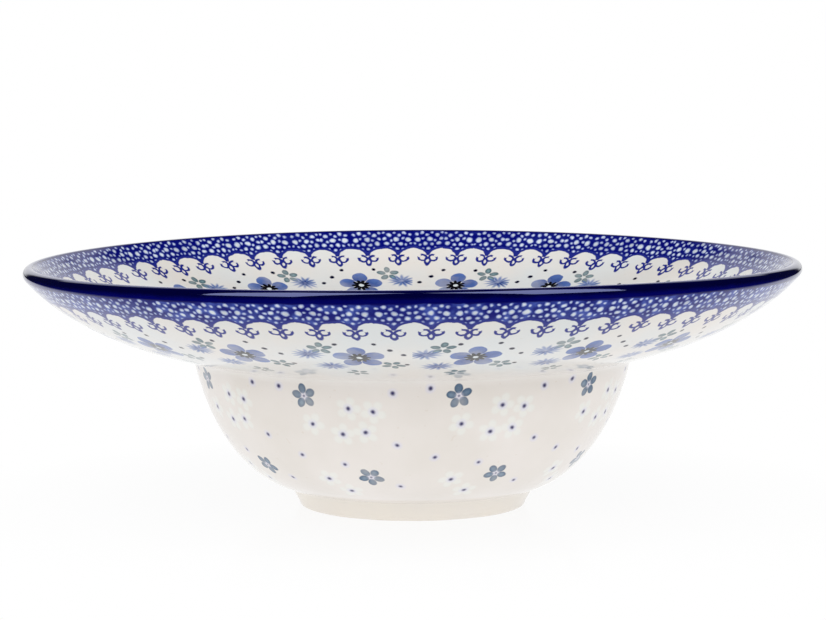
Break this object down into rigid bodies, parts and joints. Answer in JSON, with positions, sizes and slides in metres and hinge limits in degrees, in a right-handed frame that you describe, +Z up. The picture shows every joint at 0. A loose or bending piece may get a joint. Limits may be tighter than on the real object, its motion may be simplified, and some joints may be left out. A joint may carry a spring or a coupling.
{
  "type": "pasta bowl",
  "caption": "Round stoneware pasta bowl with a deep well, a wide upswept flange, a low foot ring and a cobalt lip; holds a serving of food and stands on its foot.",
  "frame": {"origin": "on the bowl's axis, in the plane that the foot stands on", "axes": "+Z up along the bowl's axis; X and Y level, the bowl is round about Z"},
  "size_m": [0.28, 0.28, 0.09],
  "materials": {
    "stoneware": "fired buff clay, matt, hidden under the glaze",
    "foot_stoneware": "warm beige foot, thinly glazed sides and a bare ground contact face",
    "inside_glaze": "glossy cream glaze with a cobalt lace border and stamped blue blossoms",
    "outside_glaze": "glossy cream glaze with a cobalt lace border, stamped blue blossoms and slate florets",
    "cobalt_glaze": "glossy dark cobalt blue",
    "base_glaze": "glossy plain cream glaze"
  },
  "bodies": {
    "root": {"stoneware_body": "stoneware", "foot_ring": "foot_stoneware", "inside_glaze": "inside_glaze", "outside_glaze": "outside_glaze", "lip_band": "cobalt_glaze", "base_glaze": "base_glaze"}
  },
  "joints": []
}
